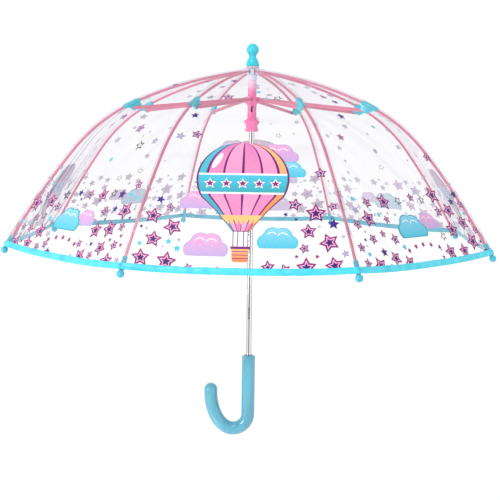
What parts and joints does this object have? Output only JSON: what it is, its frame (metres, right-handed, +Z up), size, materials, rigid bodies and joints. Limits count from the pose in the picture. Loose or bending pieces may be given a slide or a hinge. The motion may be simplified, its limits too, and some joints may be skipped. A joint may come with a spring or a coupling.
{
  "type": "children's umbrella",
  "caption": "Small dome stick umbrella with a clear film canopy on curved ribs, a sliding runner that folds it, and a crook handle.",
  "frame": {"origin": "on the shaft's axis, inside the handle's straight grip, 41.5 mm below the grip's top", "axes": "+Z up along the shaft to the cap, -Y towards the front, the crook opens towards -X"},
  "size_m": [0.656, 0.656, 0.5783],
  "materials": {
    "film": "clear glossy film",
    "cyan": "glossy moulded",
    "turquoise": "glossy moulded",
    "runner_pink": "satin moulded",
    "rib_pink": "satin coated rod",
    "white": "satin moulded",
    "shaft_steel": "polished",
    "spring_steel": "bright spring steel"
  },
  "bodies": {
    "root": {"shaft": "shaft_steel", "handle": "turquoise", "top_notch": "white", "ferrule_cap": "cyan", "canopy_washer": "cyan"},
    "runner": {"runner": "runner_pink"},
    "rib_inner_1": {"rib_inner_1": "rib_pink", "bracket_1": "cyan"},
    "rib_outer_1": {"rib_outer_1": "rib_pink", "rib_tip_1": "cyan", "gore_1": "film"},
    "stretcher_1": {"stretcher_1": "rib_pink"},
    "rib_inner_2": {"rib_inner_2": "rib_pink", "bracket_2": "cyan"},
    "rib_outer_2": {"rib_outer_2": "rib_pink", "rib_tip_2": "cyan", "gore_2": "film"},
    "stretcher_2": {"stretcher_2": "rib_pink"},
    "rib_inner_3": {"rib_inner_3": "rib_pink", "bracket_3": "cyan"},
    "rib_outer_3": {"rib_outer_3": "rib_pink", "rib_tip_3": "cyan", "gore_3": "film"},
    "stretcher_3": {"stretcher_3": "rib_pink"},
    "rib_inner_4": {"rib_inner_4": "rib_pink", "bracket_4": "cyan"},
    "rib_outer_4": {"rib_outer_4": "rib_pink", "rib_tip_4": "cyan", "gore_4": "film"},
    "stretcher_4": {"stretcher_4": "rib_pink"},
    "rib_inner_5": {"rib_inner_5": "rib_pink", "bracket_5": "cyan"},
    "rib_outer_5": {"rib_outer_5": "rib_pink", "rib_tip_5": "cyan", "gore_5": "film"},
    "stretcher_5": {"stretcher_5": "rib_pink"},
    "rib_inner_6": {"rib_inner_6": "rib_pink", "bracket_6": "cyan"},
    "rib_outer_6": {"rib_outer_6": "rib_pink", "rib_tip_6": "cyan", "gore_6": "film"},
    "stretcher_6": {"stretcher_6": "rib_pink"},
    "rib_inner_7": {"rib_inner_7": "rib_pink", "bracket_7": "cyan"},
    "rib_outer_7": {"rib_outer_7": "rib_pink", "rib_tip_7": "cyan", "gore_7": "film"},
    "stretcher_7": {"stretcher_7": "rib_pink"},
    "rib_inner_8": {"rib_inner_8": "rib_pink", "bracket_8": "cyan"},
    "rib_outer_8": {"rib_outer_8": "rib_pink", "rib_tip_8": "cyan", "gore_8": "film"},
    "stretcher_8": {"stretcher_8": "rib_pink"},
    "top_catch": {"top_catch": "spring_steel"},
    "bottom_catch": {"bottom_catch": "spring_steel"}
  },
  "joints": [
    {"name": "runner_slide", "type": "slide", "parent": "root", "child": "runner", "axis": [0, 0, -1], "range_m": [0, 0.30072], "deforming": ["gore_1", "gore_2", "gore_3", "gore_4", "gore_5", "gore_6", "gore_7", "gore_8", "top_catch", "bottom_catch"]},
    {"name": "rib_hinge_1", "type": "hinge", "parent": "root", "child": "rib_inner_1", "pos_m": [0.00291, -0.00702, 0.4574], "axis": [0.9239, 0.3827, 0], "range_deg": [0, 70.05]},
    {"name": "rib_hinge_2", "type": "hinge", "parent": "root", "child": "rib_inner_2", "pos_m": [0.00702, -0.00291, 0.4574], "axis": [0.3827, 0.9239, 0], "range_deg": [0, 70.05]},
    {"name": "rib_hinge_3", "type": "hinge", "parent": "root", "child": "rib_inner_3", "pos_m": [0.00702, 0.00291, 0.4574], "axis": [-0.3827, 0.9239, 0], "range_deg": [0, 70.05]},
    {"name": "rib_hinge_4", "type": "hinge", "parent": "root", "child": "rib_inner_4", "pos_m": [0.00291, 0.00702, 0.4574], "axis": [-0.9239, 0.3827, 0], "range_deg": [0, 70.05]},
    {"name": "rib_hinge_5", "type": "hinge", "parent": "root", "child": "rib_inner_5", "pos_m": [-0.00291, 0.00702, 0.4574], "axis": [-0.9239, -0.3827, 0], "range_deg": [0, 70.05]},
    {"name": "rib_hinge_6", "type": "hinge", "parent": "root", "child": "rib_inner_6", "pos_m": [-0.00702, 0.00291, 0.4574], "axis": [-0.3827, -0.9239, 0], "range_deg": [0, 70.05]},
    {"name": "rib_hinge_7", "type": "hinge", "parent": "root", "child": "rib_inner_7", "pos_m": [-0.00702, -0.00291, 0.4574], "axis": [0.3827, -0.9239, 0], "range_deg": [0, 70.05]},
    {"name": "rib_hinge_8", "type": "hinge", "parent": "root", "child": "rib_inner_8", "pos_m": [-0.00291, -0.00702, 0.4574], "axis": [0.9239, -0.3827, 0], "range_deg": [0, 70.05]},
    {"name": "rib_flex_1", "type": "hinge", "parent": "rib_inner_1", "child": "rib_outer_1", "pos_m": [0.07246, -0.17494, 0.40113], "axis": [0.9239, 0.3827, 0], "range_deg": [-31.54, 0]},
    {"name": "rib_flex_2", "type": "hinge", "parent": "rib_inner_2", "child": "rib_outer_2", "pos_m": [0.17494, -0.07246, 0.40113], "axis": [0.3827, 0.9239, 0], "range_deg": [-31.54, 0]},
    {"name": "rib_flex_3", "type": "hinge", "parent": "rib_inner_3", "child": "rib_outer_3", "pos_m": [0.17494, 0.07246, 0.40113], "axis": [-0.3827, 0.9239, 0], "range_deg": [-31.54, 0]},
    {"name": "rib_flex_4", "type": "hinge", "parent": "rib_inner_4", "child": "rib_outer_4", "pos_m": [0.07246, 0.17494, 0.40113], "axis": [-0.9239, 0.3827, 0], "range_deg": [-31.54, 0]},
    {"name": "rib_flex_5", "type": "hinge", "parent": "rib_inner_5", "child": "rib_outer_5", "pos_m": [-0.07246, 0.17494, 0.40113], "axis": [-0.9239, -0.3827, 0], "range_deg": [-31.54, 0]},
    {"name": "rib_flex_6", "type": "hinge", "parent": "rib_inner_6", "child": "rib_outer_6", "pos_m": [-0.17494, 0.07246, 0.40113], "axis": [-0.3827, -0.9239, 0], "range_deg": [-31.54, 0]},
    {"name": "rib_flex_7", "type": "hinge", "parent": "rib_inner_7", "child": "rib_outer_7", "pos_m": [-0.17494, -0.07246, 0.40113], "axis": [0.3827, -0.9239, 0], "range_deg": [-31.54, 0]},
    {"name": "rib_flex_8", "type": "hinge", "parent": "rib_inner_8", "child": "rib_outer_8", "pos_m": [-0.07246, -0.17494, 0.40113], "axis": [0.9239, -0.3827, 0], "range_deg": [-31.54, 0]},
    {"name": "stretcher_hinge_1", "type": "hinge", "parent": "runner", "child": "stretcher_1", "pos_m": [0.00321, -0.00776, 0.4178], "axis": [0.9239, 0.3827, 0], "range_deg": [-94.37, 0]},
    {"name": "stretcher_hinge_2", "type": "hinge", "parent": "runner", "child": "stretcher_2", "pos_m": [0.00776, -0.00321, 0.4178], "axis": [0.3827, 0.9239, 0], "range_deg": [-94.37, 0]},
    {"name": "stretcher_hinge_3", "type": "hinge", "parent": "runner", "child": "stretcher_3", "pos_m": [0.00776, 0.00321, 0.4178], "axis": [-0.3827, 0.9239, 0], "range_deg": [-94.37, 0]},
    {"name": "stretcher_hinge_4", "type": "hinge", "parent": "runner", "child": "stretcher_4", "pos_m": [0.00321, 0.00776, 0.4178], "axis": [-0.9239, 0.3827, 0], "range_deg": [-94.37, 0]},
    {"name": "stretcher_hinge_5", "type": "hinge", "parent": "runner", "child": "stretcher_5", "pos_m": [-0.00321, 0.00776, 0.4178], "axis": [-0.9239, -0.3827, 0], "range_deg": [-94.37, 0]},
    {"name": "stretcher_hinge_6", "type": "hinge", "parent": "runner", "child": "stretcher_6", "pos_m": [-0.00776, 0.00321, 0.4178], "axis": [-0.3827, -0.9239, 0], "range_deg": [-94.37, 0]},
    {"name": "stretcher_hinge_7", "type": "hinge", "parent": "runner", "child": "stretcher_7", "pos_m": [-0.00776, -0.00321, 0.4178], "axis": [0.3827, -0.9239, 0], "range_deg": [-94.37, 0]},
    {"name": "stretcher_hinge_8", "type": "hinge", "parent": "runner", "child": "stretcher_8", "pos_m": [-0.00321, -0.00776, 0.4178], "axis": [0.9239, -0.3827, 0], "range_deg": [-94.37, 0]},
    {"name": "top_catch_press", "type": "hinge", "parent": "root", "child": "top_catch", "pos_m": [0, 0, 0.39255], "axis": [-1, 0, 0], "range_deg": [0, 10], "stiffness_Nm_per_rad": 0.02, "springref_deg": -5.73},
    {"name": "bottom_catch_press", "type": "hinge", "parent": "root", "child": "bottom_catch", "pos_m": [0, 0, 0.11435], "axis": [1, 0, 0], "range_deg": [0, 10], "stiffness_Nm_per_rad": 0.02, "springref_deg": -5.73}
  ],
  "couplings": [
    {"joint": "rib_hinge_1", "follows": "runner_slide", "rad_per_m": 4.0628},
    {"joint": "rib_hinge_2", "follows": "runner_slide", "rad_per_m": 4.0628},
    {"joint": "rib_hinge_3", "follows": "runner_slide", "rad_per_m": 4.0628},
    {"joint": "rib_hinge_4", "follows": "runner_slide", "rad_per_m": 4.0628},
    {"joint": "rib_hinge_5", "follows": "runner_slide", "rad_per_m": 4.0628},
    {"joint": "rib_hinge_6", "follows": "runner_slide", "rad_per_m": 4.0628},
    {"joint": "rib_hinge_7", "follows": "runner_slide", "rad_per_m": 4.0628},
    {"joint": "rib_hinge_8", "follows": "runner_slide", "rad_per_m": 4.0628},
    {"joint": "rib_flex_1", "follows": "runner_slide", "rad_per_m": -1.8277},
    {"joint": "rib_flex_2", "follows": "runner_slide", "rad_per_m": -1.8277},
    {"joint": "rib_flex_3", "follows": "runner_slide", "rad_per_m": -1.8277},
    {"joint": "rib_flex_4", "follows": "runner_slide", "rad_per_m": -1.8277},
    {"joint": "rib_flex_5", "follows": "runner_slide", "rad_per_m": -1.8277},
    {"joint": "rib_flex_6", "follows": "runner_slide", "rad_per_m": -1.8277},
    {"joint": "rib_flex_7", "follows": "runner_slide", "rad_per_m": -1.8277},
    {"joint": "rib_flex_8", "follows": "runner_slide", "rad_per_m": -1.8277},
    {"joint": "stretcher_hinge_1", "follows": "runner_slide", "rad_per_m": -5.4743},
    {"joint": "stretcher_hinge_2", "follows": "runner_slide", "rad_per_m": -5.4743},
    {"joint": "stretcher_hinge_3", "follows": "runner_slide", "rad_per_m": -5.4743},
    {"joint": "stretcher_hinge_4", "follows": "runner_slide", "rad_per_m": -5.4743},
    {"joint": "stretcher_hinge_5", "follows": "runner_slide", "rad_per_m": -5.4743},
    {"joint": "stretcher_hinge_6", "follows": "runner_slide", "rad_per_m": -5.4743},
    {"joint": "stretcher_hinge_7", "follows": "runner_slide", "rad_per_m": -5.4743},
    {"joint": "stretcher_hinge_8", "follows": "runner_slide", "rad_per_m": -5.4743}
  ]
}
